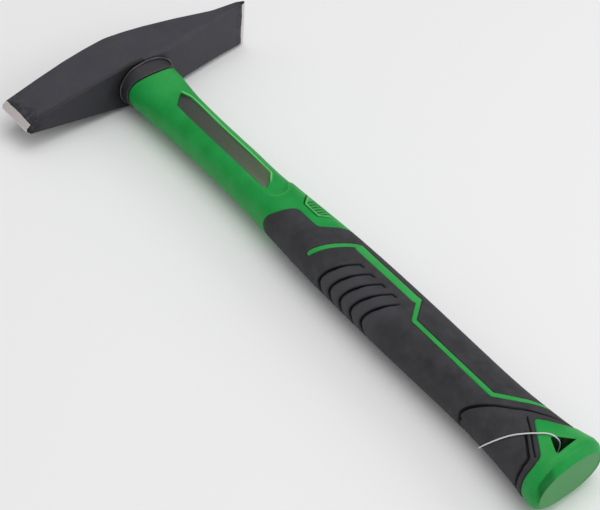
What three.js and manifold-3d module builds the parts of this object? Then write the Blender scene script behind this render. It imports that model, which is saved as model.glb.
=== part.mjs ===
// Double-chisel rock hammer with a fibreglass core, a moulded green handle and a black rubber grip.
// Units are millimetres and +Z is up. The hammer lies on its side: the handle runs along +X from the
// head to the butt, and the head runs along Y. The origin is under the middle of the bounding box.
import * as THREE from 'three';
import { mergeVertices } from 'three/addons/utils/BufferGeometryUtils.js';
import Module from 'manifold-3d';

const wasm = await Module();
wasm.setup();

// ---------------------------------------------------------------- driving dimensions
// Along X, sizes are measured from the line that joins the two cutting edges.
const GAP = 0.3; // clearance between neighbouring pieces
const HEAD_HALF_LENGTH = 75; // from the middle of the head to each cutting edge
const HEAD_HALF_THICKNESS = 14.4;
const CROWN_X = -16.2; // top of the head, on the side away from the handle
const SEAT_X = 11; // face of the head that the collar meets
const WIDEST_X = 346.5; // where the handle is widest, just before the butt's shoulder
const BUTT_X = 352.7; // middle of the handle's flat end face
const BUTT_LEAN = -0.1; // slope of the end face, which makes the handle longer on its -Y edge
const BUTT_LEAN_START_X = 335;
const BUTT_END_HALF_WIDTH = 20.5;
const BUTT_TIP_X = BUTT_X - BUTT_LEAN * BUTT_END_HALF_WIDTH;
const REST_HALF_THICKNESS = 15.4; // thickest place of the butt, which the hammer lies on
const NECK_SHIFT = 1.1; // how far the handle's neck stands towards +Y, as the eye does

const EYE = { y: 0.8, width: 24, thickness: 18, taper: 1 };
const CORE = { width: 19, thickness: 13, start: -12, end: 322 };
const COLLAR = { y: 0.8, width: 31.4, thickness: 25.6, sideLength: 6.6, faceLength: 10.6 };
const BEAD = { y: 1.6, width: 34.4, thickness: 27.4, height: 1.6 };

const GRIP_THICKNESS = 2.6; // depth of the rubber over the green moulding
const STRIPE_WIDTH = 2.7;
const STRIPE_WIDE = 5.4;
const BADGE_THICKNESS = 0.9;
const BADGE_TOP = 10.8; // height of a badge's outer face above the handle's middle plane
const PAD_THICKNESS = 2;
const STRING_DIAMETER = 0.7;
const KNOT_DIAMETER = 2.2;

const SECTION_EXPONENT = 2.3; // 2 is an ellipse, larger is boxier
const SECTION_SIDES = 32;

// ---------------------------------------------------------------- small helpers
const shiftX = -(BUTT_TIP_X + CROWN_X) / 2;
const hammer = new THREE.Group();
hammer.position.set(shiftX, 0, REST_HALF_THICKNESS);

const finishes = {
  steel: { color: 0x46464c, roughness: 0.55, metalness: 0.3 },
  plastic: { color: 0x2f9e52, roughness: 0.45, metalness: 0 },
  rubber: { color: 0x3b3b3e, roughness: 0.8, metalness: 0 },
  collar: { color: 0x2c2c30, roughness: 0.5, metalness: 0 },
  epoxy: { color: 0x17171a, roughness: 0.2, metalness: 0 },
  fibreglass: { color: 0xc9b25a, roughness: 0.5, metalness: 0 },
  badge: { color: 0x4c4d4c, roughness: 0.3, metalness: 0 },
  nylon: { color: 0xe6e6e8, roughness: 0.4, metalness: 0 },
};

function addPiece(name, geometry, finish) {
  const mesh = new THREE.Mesh(geometry, new THREE.MeshStandardMaterial(finishes[finish]));
  mesh.name = name;
  hammer.add(mesh);
  return mesh;
}

// A geometry becomes a solid for cutting and joining.
function toSolid(geometry) {
  const bare = geometry.clone();
  bare.deleteAttribute('normal');
  bare.deleteAttribute('uv');
  const merged = mergeVertices(bare, 1e-5);
  return new wasm.Manifold(new wasm.Mesh({
    numProp: 3,
    vertProperties: new Float32Array(merged.attributes.position.array),
    triVerts: new Uint32Array(merged.index.array),
  }));
}

function toGeometry(solid) {
  const mesh = solid.getMesh();
  const geometry = new THREE.BufferGeometry();
  geometry.setAttribute('position', new THREE.BufferAttribute(mesh.vertProperties, 3));
  geometry.setIndex(new THREE.BufferAttribute(mesh.triVerts, 1));
  geometry.computeVertexNormals();
  return geometry;
}

// Closed skin over a row of rings that all have the same number of points. A ring's points turn
// from +Y to +Z seen from the far +X end, and the rings follow each other towards +X.
function loft(rings) {
  const count = rings[0].length;
  const points = rings.flat();
  const middles = [rings[0], rings[rings.length - 1]].map((ring) => {
    const sum = ring.reduce((total, point) => total.add(point), new THREE.Vector3());
    return sum.divideScalar(count);
  });
  const positions = [...points, ...middles].flatMap((point) => point.toArray());
  const firstMiddle = points.length;
  const lastMiddle = firstMiddle + 1;
  const lastRing = (rings.length - 1) * count;
  const index = [];
  for (let side = 0; side < count; side += 1) {
    const next = (side + 1) % count;
    for (let row = 0; row < lastRing; row += count) {
      index.push(row + side, row + next, row + count + next);
      index.push(row + side, row + count + next, row + count + side);
    }
    index.push(firstMiddle, next, side);
    index.push(lastMiddle, lastRing + side, lastRing + next);
  }
  const geometry = new THREE.BufferGeometry();
  geometry.setAttribute('position', new THREE.Float32BufferAttribute(positions, 3));
  geometry.setIndex(index);
  geometry.computeVertexNormals();
  return geometry;
}

// One point of a rounded oval, at an angle that starts at +Y and turns towards +Z.
function ovalPoint(halfWidth, halfThickness, angle) {
  const power = 2 / SECTION_EXPONENT;
  const across = Math.cos(angle);
  const up = Math.sin(angle);
  return {
    y: halfWidth * Math.sign(across) * Math.abs(across) ** power,
    z: halfThickness * Math.sign(up) * Math.abs(up) ** power,
  };
}

// Ring of an oval at x, where x may depend on the angle.
function ovalRing(x, halfWidth, halfThickness, centreY = 0) {
  return Array.from({ length: SECTION_SIDES }, (_, side) => {
    const angle = (side / SECTION_SIDES) * 2 * Math.PI;
    const { y, z } = ovalPoint(halfWidth, halfThickness, angle);
    return new THREE.Vector3(typeof x === 'function' ? x(angle) : x, y + centreY, z);
  });
}

// Straight oval bar, given by its outer sizes.
function ovalBar(startX, endX, width, thickness, centreY = 0) {
  const ends = [startX, endX].map((x) => ovalRing(x, width / 2, thickness / 2, centreY));
  return toSolid(loft(ends));
}

// Smooth value along X through a few chosen stations.
function profile(stations, key) {
  const curve = new THREE.CatmullRomCurve3(
    stations.map((station) => new THREE.Vector3(station.x, station[key], 0)),
    false,
    'centripetal',
  );
  const samples = curve.getPoints(stations.length * 12);
  return (x) => {
    const after = samples.findIndex((sample) => sample.x >= x);
    if (after === 0) return samples[0].y;
    if (after < 0) return samples[samples.length - 1].y;
    const before = samples[after - 1];
    const share = (x - before.x) / (samples[after].x - before.x);
    return THREE.MathUtils.lerp(before.y, samples[after].y, share);
  };
}

// Upright wall of any plan outline, tall enough to pass through the whole handle.
function prism(outline, bottom = -20, top = 20) {
  const shape = new THREE.Shape(outline.map(([x, y]) => new THREE.Vector2(x, y)));
  const options = { depth: top - bottom, bevelEnabled: false };
  const geometry = new THREE.ExtrudeGeometry(shape, options);
  geometry.translate(0, 0, bottom);
  return toSolid(geometry);
}

// Line moved sideways by a distance, to its left as it is walked.
function offsetLine(points, distance) {
  const line = points.map(([x, y]) => new THREE.Vector2(x, y));
  return line.map((point, i) => {
    const back = line[Math.max(i - 1, 0)];
    const ahead = line[Math.min(i + 1, line.length - 1)];
    const into = point.clone().sub(back).normalize();
    const out = ahead.clone().sub(point).normalize();
    const along = into.clone().add(out).normalize();
    const turn = Math.max(along.dot(i === 0 ? out : into), 0.5);
    const normal = new THREE.Vector2(-along.y, along.x).multiplyScalar(distance / turn);
    return [point.x + normal.x, point.y + normal.y];
  });
}

function ribbon(points, width) {
  const left = offsetLine(points, width / 2);
  const right = offsetLine(points, -width / 2);
  return [...right, ...left.reverse()];
}

// Polygon whose corners are rounded off.
function roundedOutline(corners, radius) {
  const at = (i) => new THREE.Vector2(...corners[(i + corners.length) % corners.length]);
  const outline = [];
  corners.forEach((corner, i) => {
    const here = at(i);
    const from = at(i - 1).sub(here).normalize().multiplyScalar(radius).add(here);
    const to = at(i + 1).sub(here).normalize().multiplyScalar(radius).add(here);
    const bend = new THREE.QuadraticBezierCurve(from, here, to);
    bend.getPoints(4).forEach((point) => outline.push([point.x, point.y]));
  });
  return outline;
}

// ---------------------------------------------------------------- head
// Sections across the head: its crown side, its handle side, its half thickness and its edge radius.
const headStations = [
  { y: -HEAD_HALF_LENGTH, crown: -10.6, seat: 11.5, half: 0.4, edge: 0.2 },
  { y: -74.2, crown: -11.7, seat: 12.3, half: 1.2, edge: 0.3 },
  { y: -72, crown: -11.4, seat: 12.6, half: 3.4, edge: 0.8 },
  { y: -52, crown: -13.9, seat: 12, half: 6.9, edge: 1.2 },
  { y: -34, crown: -15.7, seat: 11.4, half: 10, edge: 1.6 },
  { y: -20, crown: CROWN_X, seat: SEAT_X, half: 12.4, edge: 2 },
  { y: -8, crown: -16, seat: SEAT_X, half: HEAD_HALF_THICKNESS, edge: 2.2 },
  { y: 4, crown: -15.4, seat: SEAT_X, half: HEAD_HALF_THICKNESS, edge: 2.2 },
  { y: 16, crown: -14.3, seat: SEAT_X, half: HEAD_HALF_THICKNESS, edge: 2.2 },
  { y: 34, crown: -11.4, seat: 7.6, half: 14.3, edge: 1.6 },
  { y: 56, crown: -5.6, seat: 3.5, half: 14.1, edge: 1 },
  { y: 71, crown: -3.9, seat: 0.9, half: 14, edge: 0.5 },
  { y: HEAD_HALF_LENGTH, crown: -1.9, seat: -0.6, half: 14, edge: 0.2 },
];

// Rounded rectangle in the XZ plane, turning the way that keeps the skin facing outwards.
function headRing({ y, crown, seat, half, edge }) {
  const corners = [
    [seat - edge, half - edge, 0],
    [crown + edge, half - edge, 1],
    [crown + edge, edge - half, 2],
    [seat - edge, edge - half, 3],
  ];
  const steps = 3;
  return corners.flatMap(([x, z, quarter]) => Array.from({ length: steps + 1 }, (_, step) => {
    const angle = (quarter + step / steps) * (Math.PI / 2);
    return new THREE.Vector3(x + edge * Math.cos(angle), y, z + edge * Math.sin(angle));
  }));
}

const eyeHole = toSolid(loft([
  ovalRing(CROWN_X - 4, EYE.width / 2 + EYE.taper, EYE.thickness / 2 + EYE.taper, EYE.y),
  ovalRing(SEAT_X + 4, EYE.width / 2, EYE.thickness / 2, EYE.y),
]));
const headBlock = toSolid(loft(headStations.map((station) => headRing(station).reverse())));
addPiece('hammer_head', toGeometry(headBlock.subtract(eyeHole)), 'steel');

// ---------------------------------------------------------------- fibreglass core and epoxy
addPiece(
  'fibreglass_core',
  toGeometry(ovalBar(CORE.start, CORE.end, CORE.width, CORE.thickness, 0)),
  'fibreglass',
);
const coreRoom = ovalBar(CORE.start - GAP, CORE.end + GAP, CORE.width + 2 * GAP, CORE.thickness + 2 * GAP);

const epoxyPlug = toSolid(loft([
  ovalRing(-14.2, EYE.width / 2 + EYE.taper - 2 * GAP, EYE.thickness / 2 + EYE.taper - 2 * GAP, EYE.y),
  ovalRing(SEAT_X - 0.2, EYE.width / 2 - GAP, EYE.thickness / 2 - GAP, EYE.y),
]));
addPiece('eye_epoxy', toGeometry(epoxyPlug.subtract(coreRoom)), 'epoxy');

// ---------------------------------------------------------------- collar and its glue bead
// The collar reaches further down the handle on the two broad faces than on the edges.
const collarEnd = (angle) => SEAT_X
  + THREE.MathUtils.lerp(COLLAR.sideLength, COLLAR.faceLength, Math.sin(angle) ** 2);

function collarRing(offset, grow) {
  return ovalRing(
    typeof offset === 'function' ? offset : SEAT_X + offset,
    COLLAR.width / 2 + grow,
    COLLAR.thickness / 2 + grow,
    COLLAR.y,
  );
}

const collarBlock = toSolid(loft([
  collarRing(GAP, 0),
  collarRing(3, 0),
  collarRing((angle) => collarEnd(angle) - 1, 0),
  collarRing(collarEnd, -0.8),
]));
addPiece('head_collar', toGeometry(collarBlock.subtract(coreRoom)), 'collar');

const beadOuter = toSolid(loft([
  ovalRing(SEAT_X + GAP, BEAD.width / 2, BEAD.thickness / 2, BEAD.y),
  ovalRing(SEAT_X + GAP + BEAD.height / 2, BEAD.width / 2 - 0.2, BEAD.thickness / 2 - 0.2, BEAD.y),
  ovalRing(SEAT_X + GAP + BEAD.height, BEAD.width / 2 - 0.7, BEAD.thickness / 2 - 0.7, BEAD.y),
]));
const collarRoom = ovalBar(0, 30, COLLAR.width + 2 * GAP, COLLAR.thickness + 2 * GAP, COLLAR.y);
addPiece('collar_bead', toGeometry(beadOuter.subtract(collarRoom)), 'epoxy');

// ---------------------------------------------------------------- handle form
// Half width and half thickness of the finished handle.
const handleStations = [
  { x: 10, width: 15.9, thickness: 12.8 },
  { x: 20, width: 15.6, thickness: 12.7 },
  { x: 28, width: 14.8, thickness: 12.4 },
  { x: 36, width: 14, thickness: 12.1 },
  { x: 54, width: 12.9, thickness: 11.8 },
  { x: 80, width: 12.6, thickness: 11.6 },
  { x: 110, width: 12.9, thickness: 11.8 },
  { x: 140, width: 14.3, thickness: 12.4 },
  { x: 170, width: 16, thickness: 13.3 },
  { x: 200, width: 16.8, thickness: 13.9 },
  { x: 235, width: 17, thickness: 14 },
  { x: 280, width: 16.7, thickness: 13.6 },
  { x: 305, width: 17.1, thickness: 13.6 },
  { x: 325, width: 18.8, thickness: 13.9 },
  { x: 338, width: 20.6, thickness: 14.3 },
  { x: WIDEST_X, width: 22.4, thickness: REST_HALF_THICKNESS },
];
const halfWidth = profile(handleStations, 'width');
const halfThickness = profile(handleStations, 'thickness');
const neckMiddle = (x) => NECK_SHIFT * (1 - THREE.MathUtils.smoothstep(x, 12, 50));

// The butt's end: a short flat, then a bevel that runs in to the end face.
const buttSteps = [
  { x: 349.8, width: 22.2, thickness: 15.1 },
  { x: 352, width: 21, thickness: 12.1 },
  { x: BUTT_X, width: BUTT_END_HALF_WIDTH, thickness: 11 },
];

function leanRing(station, inset) {
  const x = station.x - inset;
  const ring = ovalRing(x, station.width - inset, station.thickness - inset, neckMiddle(x));
  const share = THREE.MathUtils.smoothstep(station.x, BUTT_LEAN_START_X, BUTT_X);
  ring.forEach((point) => {
    point.x += BUTT_LEAN * point.y * share;
  });
  return ring;
}

// Solid handle, shrunk all round by an inset, between a start and the butt or an end.
function handleForm(inset, startX, endX = BUTT_X) {
  const spacing = 11;
  const lastX = Math.min(endX, WIDEST_X);
  const steps = Math.ceil((lastX - startX) / spacing);
  const rings = [];
  for (let step = 0; step <= steps; step += 1) {
    const x = THREE.MathUtils.lerp(startX, lastX, step / steps);
    const station = { x, width: halfWidth(x), thickness: halfThickness(x) };
    rings.push(leanRing(station, inset).map((point) => point.setX(point.x + inset)));
  }
  if (endX === BUTT_X) buttSteps.forEach((station) => rings.push(leanRing(station, inset)));
  return toSolid(loft(rings));
}

// ---------------------------------------------------------------- plan outlines on the handle
// Where the rubber starts behind the green neck, walked from the -Y edge to the +Y edge.
const gripFront = [
  [137, -26], [137.2, -16], [138.8, -14], [143.6, -10.1], [146, -6.2], [149.3, -1.6],
  [166, -1.6], [169.9, 3.4], [173.8, 10.6], [176, 16], [177, 26],
];
// Where the rubber ends at the green butt, walked the same way. It comes to a point on each face.
const gripRear = [
  [342.3, -26], [342.3, -20], [342.6, -15.8], [341.8, -10.8], [336.7, -7], [330.2, -2.8],
  [323.4, 1.8], [327.2, 6], [332, 10.6], [335.4, 14.4], [338, 18], [339.6, 26],
];
// Middle line of the green stripe that stands through the rubber.
const stripeStart = [
  [175, -13.6], [178, -9.3], [180.6, -5], [184, 0.4], [187.2, 5.3], [189.3, 8],
];
const stripeWidePart = [[188.2, 6.4], [234.8, 6.4]];
const stripeEnd = [
  [233.6, 8.2], [243.8, -3.7], [301, -3.9], [305.6, -0.1], [311, 4.7], [318.6, 13.3], [322.6, 26],
];

const badgeOutline = [
  [42.3, 2.3], [48, 4.9], [58, 4.9], [82, 4.4], [118.6, 4.4], [124.2, -0.2], [127, -4.2],
  [126, -5.15], [57, -5.15], [49.2, -4.9],
];
const padOutline = [
  [138.6, 26], [139.4, 15], [142.2, 9.6], [148.4, 3.2], [160.2, 3], [163.2, 8], [164.8, 13], [165, 26],
];
const lanyardCorners = [[335.7, 0.8], [344.2, 9.9], [346, -4.6]];

function growOutline(outline, distance) {
  const area = THREE.ShapeUtils.area(outline.map(([x, y]) => new THREE.Vector2(x, y)));
  const closed = [outline[outline.length - 1], ...outline, outline[0]];
  return offsetLine(closed, -Math.sign(area) * distance).slice(1, -1);
}
const lanyardHole = prism(roundedOutline(lanyardCorners, 2));
const between = (front, rear) => prism([...front, ...rear.slice().reverse()]);

// ---------------------------------------------------------------- green moulding
const shellStart = 12;
const outerForm = handleForm(0, shellStart);
const innerForm = handleForm(GRIP_THICKNESS, shellStart);
const rubberRoom = between(offsetLine(gripFront, GAP), offsetLine(gripRear, -GAP));
const stripeParts = (extra) => [
  prism(ribbon(stripeStart, STRIPE_WIDTH + extra)),
  prism(ribbon(stripeWidePart, STRIPE_WIDE + extra)),
  prism(ribbon(stripeEnd, STRIPE_WIDTH + extra)),
];
const joinAll = (solids) => solids.reduce((total, solid) => total.add(solid));
const stripeWall = joinAll(stripeParts(0));

const collarClearance = toSolid(loft([
  collarRing(-2, 2),
  collarRing((angle) => collarEnd(angle) - 1 + GAP, 2),
  collarRing((angle) => collarEnd(angle) + GAP, GAP - 0.8),
]));

const badgeRooms = [1, -1].map((side) => {
  const floor = (BADGE_TOP - BADGE_THICKNESS - GAP) * side;
  const roof = 20 * side;
  return prism(growOutline(badgeOutline, GAP), Math.min(floor, roof), Math.max(floor, roof));
});
const padRoom = prism(growOutline(padOutline, GAP)).subtract(handleForm(PAD_THICKNESS, shellStart));

const greenMoulding = outerForm
  .subtract(rubberRoom.subtract(stripeWall))
  .add(innerForm)
  .subtract(collarClearance)
  .subtract(coreRoom)
  .subtract(joinAll(badgeRooms))
  .subtract(padRoom)
  .subtract(lanyardHole);
addPiece('handle_shell', toGeometry(greenMoulding), 'plastic');

// ---------------------------------------------------------------- rubber grip
// The forms start ahead of the outlines, so that the outlines alone set where a piece ends.
const SKIN_START_X = 120;
const SKIN_END_X = 190;
const BEYOND = 10; // how much further the inner form reaches, so that it cuts right through
const rubberSleeve = handleForm(0, SKIN_START_X)
  .intersect(between(gripFront, gripRear))
  .subtract(handleForm(GRIP_THICKNESS - GAP, SKIN_START_X - BEYOND))
  .subtract(joinAll(stripeParts(2 * GAP)))
  .subtract(lanyardHole);
addPiece('rubber_grip', toGeometry(rubberSleeve), 'rubber');

// ---------------------------------------------------------------- badges and thumb pad
['badge_upper', 'badge_lower'].forEach((name, index) => {
  const side = index === 0 ? 1 : -1;
  const faces = [BADGE_TOP * side, (BADGE_TOP - BADGE_THICKNESS) * side];
  const plate = prism(badgeOutline, Math.min(...faces), Math.max(...faces));
  addPiece(name, toGeometry(plate), 'badge');
});

const padSkin = handleForm(0, SKIN_START_X, SKIN_END_X)
  .subtract(handleForm(PAD_THICKNESS - GAP, SKIN_START_X - BEYOND, SKIN_END_X + BEYOND));
addPiece('thumb_pad', toGeometry(padSkin.intersect(prism(padOutline))), 'plastic');

// ---------------------------------------------------------------- tag string
// One loop of thread: up the lanyard hole from the knot, over the upper face, round the -Y edge,
// back along the lower face and up the hole again to the knot.
const knotPlace = new THREE.Vector3(338.9, 1.7, -4.6);
const stringRoute = [
  [338.9, 1.7, -3.2], [339.3, 2.4, 1], [339.7, 3.4, 5], [339.8, 3.9, 9], [339.4, 3.5, 11.9],
  [338.6, 2.6, 13.7], [336.9, 1.5, 14.9], [334.7, 0.2, 14.9], [331.5, -3.6, 14.6],
  [328, -8.1, 13.9],
  [324.5, -12.3, 12.2], [322.2, -14.9, 10.2], [319.8, -17.1, 7.5], [316.9, -18.5, 3.6],
  [314.2, -18.6, -0.4], [311.9, -18, -4.1], [309.8, -16.2, -7.8], [308, -13.1, -10.8],
  [307, -10.4, -12.4], [307.1, -7.8, -13.4], [308.6, -5.4, -14], [311.6, -3.5, -14.3],
  [316.5, -1.9, -14.5], [322, -0.6, -14.6], [328, 0.5, -14.7], [333.5, 1.2, -14.9],
  [336.6, 1.5, -14.8], [338.3, 1.6, -13.4], [338.9, 1.7, -10.5], [338.9, 1.7, -6],
];
const STRING_STEPS = 60;
const stringCurve = new THREE.CatmullRomCurve3(
  stringRoute.map((place) => new THREE.Vector3(...place)),
  false,
  'centripetal',
);
const stringSection = new THREE.Shape(
  Array.from({ length: 8 }, (_, side) => {
    const angle = (side / 8) * 2 * Math.PI;
    return new THREE.Vector2(Math.cos(angle), Math.sin(angle)).multiplyScalar(STRING_DIAMETER / 2);
  }),
);
addPiece(
  'tag_string',
  new THREE.ExtrudeGeometry(stringSection, {
    steps: STRING_STEPS,
    extrudePath: stringCurve,
    bevelEnabled: false,
  }),
  'nylon',
);

const knot = addPiece('string_knot', new THREE.SphereGeometry(KNOT_DIAMETER / 2, 12, 8), 'nylon');
knot.position.copy(knotPlace);

export default hammer;
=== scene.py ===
"""Rock hammer with two chisel ends, a green moulded handle and a black rubber grip.

Shapes are worked out in millimetres, in the hammer's own axes: x runs down the handle from the
line that joins the two cutting edges, y runs along the head, and z is up from the handle's middle
plane. place() moves them to the shared frame, in metres.
"""
import math

import bpy
import numpy as np
from mathutils import Matrix, Vector


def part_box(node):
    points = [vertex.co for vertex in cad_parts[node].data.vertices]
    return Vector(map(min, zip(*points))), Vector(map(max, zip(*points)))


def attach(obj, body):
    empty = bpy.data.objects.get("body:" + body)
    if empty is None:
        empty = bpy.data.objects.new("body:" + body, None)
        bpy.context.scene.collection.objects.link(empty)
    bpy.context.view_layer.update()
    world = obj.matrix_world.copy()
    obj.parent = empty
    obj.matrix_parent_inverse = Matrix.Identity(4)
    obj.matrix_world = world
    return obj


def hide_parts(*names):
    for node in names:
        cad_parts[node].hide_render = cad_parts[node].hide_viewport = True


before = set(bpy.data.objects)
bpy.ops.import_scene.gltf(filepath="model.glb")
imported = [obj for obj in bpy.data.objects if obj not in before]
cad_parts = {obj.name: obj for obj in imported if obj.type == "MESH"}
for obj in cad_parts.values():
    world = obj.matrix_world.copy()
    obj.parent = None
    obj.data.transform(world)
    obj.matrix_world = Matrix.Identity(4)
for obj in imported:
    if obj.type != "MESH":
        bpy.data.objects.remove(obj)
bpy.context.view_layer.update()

# ---- the shared frame
MM = 0.001
CROWN_X = -16.2  # top of the head, measured along the handle
SEAT_X = 11.0  # face of the head that the collar meets
BUTT_X = 352.7  # middle of the handle's end face
shell_low, shell_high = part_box("handle_shell")
HOME = np.array([
    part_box("hammer_head")[0].x / MM - CROWN_X,
    0.0,
    (shell_low.z + shell_high.z) / 2 / MM,
])


def place(points):
    """Points in the hammer's own millimetres, as metres in the shared frame."""
    return (np.asarray(points, float) + HOME) * MM


def add_object(name, data):
    """New object in the scene."""
    item = bpy.data.objects.new(name, data)
    bpy.context.collection.objects.link(item)
    return item


# ---- camera
CAMERA_PLACE = (0.60373, -0.52046, 0.76493)  # metres, in the shared frame
CAMERA_TARGET = (-0.00238, -0.01233, 0.0154)
CAMERA_ROLL = 4.208  # degrees
CAMERA_LENS = 132.0


def make_camera():
    camera = add_object("camera", bpy.data.cameras.new("camera"))
    camera.data.lens = CAMERA_LENS
    camera.data.sensor_width = 36.0
    camera.data.clip_start = 0.05
    camera.data.clip_end = 20.0
    away = Vector(CAMERA_TARGET) - Vector(CAMERA_PLACE)
    turn = away.to_track_quat("-Z", "Y").to_matrix().to_4x4()
    roll = Matrix.Rotation(math.radians(CAMERA_ROLL), 4, "Z")
    camera.matrix_world = Matrix.Translation(CAMERA_PLACE) @ turn @ roll
    bpy.context.scene.camera = camera


# ---- curves and fields
CORNER_POINTS = 6  # points along each rounded corner
LINE_SPACING = 0.8  # between the points of a line on the surface
BOUNDARY_SPACING = 0.5  # between the points of a boundary in plan
FAR = 1e3  # distance given to points that are out of reach
TINY = 1e-9  # a stretch whose squared length is below this counts as a point


def spline(places, values):
    """Smooth function through chosen stations (a natural cubic spline)."""
    places = np.array(places, float)
    values = np.array(values, float)
    gaps = np.diff(places)
    slopes = np.diff(values) / gaps
    count = len(places)
    matrix = np.eye(count)
    bends = np.zeros(count)
    for i in range(1, count - 1):
        matrix[i, i - 1:i + 2] = gaps[i - 1], 2 * (gaps[i - 1] + gaps[i]), gaps[i]
        bends[i] = 6 * (slopes[i] - slopes[i - 1])
    bends = np.linalg.solve(matrix, bends)

    def at(x):
        i = np.clip(np.searchsorted(places, x) - 1, 0, count - 2)
        after = x - places[i]
        before = places[i + 1] - x
        bent = (bends[i] * before ** 3 + bends[i + 1] * after ** 3) / (6 * gaps[i])
        start = (values[i] / gaps[i] - bends[i] * gaps[i] / 6) * before
        end = (values[i + 1] / gaps[i] - bends[i + 1] * gaps[i] / 6) * after
        return bent + start + end

    return at


def step(low, high, value):
    """Smooth rise from 0 at low to 1 at high."""
    share = np.clip((value - low) / (high - low), 0.0, 1.0)
    return share * share * (3 - 2 * share)


def round_corners(line, radius, closed=False):
    """Line whose corners are replaced by short curves."""
    line = [np.array(point, float) for point in line]
    count = len(line)
    rounded = []
    for i, here in enumerate(line):
        if not closed and i in (0, count - 1):
            rounded.append(here)
            continue
        back = line[i - 1] - here
        ahead = line[(i + 1) % count] - here
        start = here + back * min(radius / np.linalg.norm(back), 0.5)
        end = here + ahead * min(radius / np.linalg.norm(ahead), 0.5)
        for share in np.linspace(0, 1, CORNER_POINTS):
            first = start + (here - start) * share
            second = here + (end - here) * share
            rounded.append(first + (second - first) * share)
    if closed:
        rounded.append(rounded[0])
    return np.array(rounded)


def fill_in(line, spacing):
    """Line with more points, none further apart than the spacing."""
    filled = [line[0]]
    for start, end in zip(line[:-1], line[1:]):
        pieces = max(1, math.ceil(np.linalg.norm(end - start) / spacing))
        filled += [start + (end - start) * (k + 1) / pieces for k in range(pieces)]
    return np.array(filled)


def distance(points, line, reach=8.0):
    """Distance from each grid point to a line, worked out only within reach of it along x."""
    result = np.full(points.shape[:-1], FAR)
    x = points[..., 0]
    in_reach = (x > line[:, 0].min() - reach) & (x < line[:, 0].max() + reach)
    near = np.any(in_reach, axis=1)
    chosen = points[near]
    best = np.full(chosen.shape[:-1], FAR)
    for start, end in zip(line[:-1], line[1:]):
        along = end - start
        length = along @ along
        if length < TINY:
            continue
        share = np.clip(((chosen - start) @ along) / length, 0, 1)
        gap = np.linalg.norm(chosen - start - share[..., None] * along, axis=-1)
        best = np.minimum(best, gap)
    result[near] = best
    return result


# ---- handle form
SECTION_EXPONENT = 2.3  # 2 is an ellipse, larger is boxier
WIDEST_X = 346.5
HANDLE_STATIONS = [  # x, half width, half thickness
    (10, 15.9, 12.8), (20, 15.6, 12.7), (28, 14.8, 12.4), (36, 14, 12.1), (54, 12.9, 11.8),
    (80, 12.6, 11.6), (110, 12.9, 11.8), (140, 14.3, 12.4), (170, 16, 13.3), (200, 16.8, 13.9),
    (235, 17, 14), (280, 16.7, 13.6), (305, 17.1, 13.6), (325, 18.8, 13.9), (338, 20.6, 14.3),
    (WIDEST_X, 22.4, 15.4),
]
BUTT_STEPS = [  # the same, round the butt's shoulder to the flat end face
    (WIDEST_X, 22.4, 15.4), (349.8, 22.2, 15.1), (352.3, 20.7, 11), (BUTT_X, 20.4, 10.4),
]
NECK_SHIFT = 1.1  # how far the handle's neck stands towards +Y
NECK_SHIFT_START = 12.0  # the shift fades out between these two places
NECK_SHIFT_END = 50.0
BUTT_LEAN = -0.1  # slope of the end face, which makes the handle longer on its -Y edge
LEAN_START = 335.0
GRIP_THICKNESS = 2.6
CORE_SIZE = (9.5, 6.5)  # half width and half thickness, as in the other sizes
CORE_START = -12.0
CORE_END = 322.0
GAP = 0.3  # clearance between pieces that fit into each other

station_x, station_widths, station_thicknesses = zip(*HANDLE_STATIONS)
half_width = spline(station_x, station_widths)
half_thickness = spline(station_x, station_thicknesses)


def sides(angles):
    """Unit oval at angles from the top centre line, positive towards +Y."""
    power = 2 / SECTION_EXPONENT
    across = np.sin(angles)
    up = np.cos(angles)
    return np.sign(across) * np.abs(across) ** power, np.sign(up) * np.abs(up) ** power


def even_angles(count, width=16.0, thickness=13.3):
    """Angles whose points lie evenly spaced round a section of the handle."""
    fine = np.linspace(-math.pi, math.pi, 6001)
    y, z = sides(fine)
    run = np.hypot(np.diff(y) * width, np.diff(z) * thickness)
    length = np.concatenate([[0], np.cumsum(run)])
    return np.interp(np.linspace(0, length[-1], count, endpoint=False), length, fine)


def oval_ring(x, size, angles, grow=0.0, centre_y=0.0):
    """Ring of points from its half width and half thickness; x may differ round the ring."""
    y, z = sides(angles)
    x = np.broadcast_to(np.asarray(x, float), angles.shape)
    return np.stack([x, y * (size[0] + grow) + centre_y, z * (size[1] + grow)], axis=-1)


def core_ring(x, angles, grow=GAP):
    """Ring a little larger than the core, as the bores that it runs through are."""
    return oval_ring(x, CORE_SIZE, angles, grow)


def lean(points):
    """Slopes the butt, so that its end face isn't square to the handle."""
    share = step(LEAN_START, BUTT_X, points[..., 0])
    leaned = points.copy()
    leaned[..., 0] += BUTT_LEAN * points[..., 1] * share
    return leaned


def form(x, angles):
    """Points of the finished handle for an array of x (rows by columns)."""
    y, z = sides(angles)
    middle = NECK_SHIFT * (1 - step(NECK_SHIFT_START, NECK_SHIFT_END, x))
    return np.stack([x, y * half_width(x) + middle, z * half_thickness(x)], axis=-1)


def normals(points, closed=True):
    """Outward directions of a grid of points (rows along x, columns round the handle)."""
    along = np.gradient(points, axis=0)
    if closed:
        around = np.roll(points, -1, axis=1) - np.roll(points, 1, axis=1)
    else:
        around = np.gradient(points, axis=1)
    out = np.cross(along, around)
    return out / np.linalg.norm(out, axis=-1, keepdims=True)


def angle_at(x, y):
    """Angle of the upper surface's point over a plan place; beyond the edge it stays on it."""
    share = np.clip(np.abs(y) / half_width(x), 0, 1)
    return np.sign(y) * np.arcsin(share ** (SECTION_EXPONENT / 2))


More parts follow.
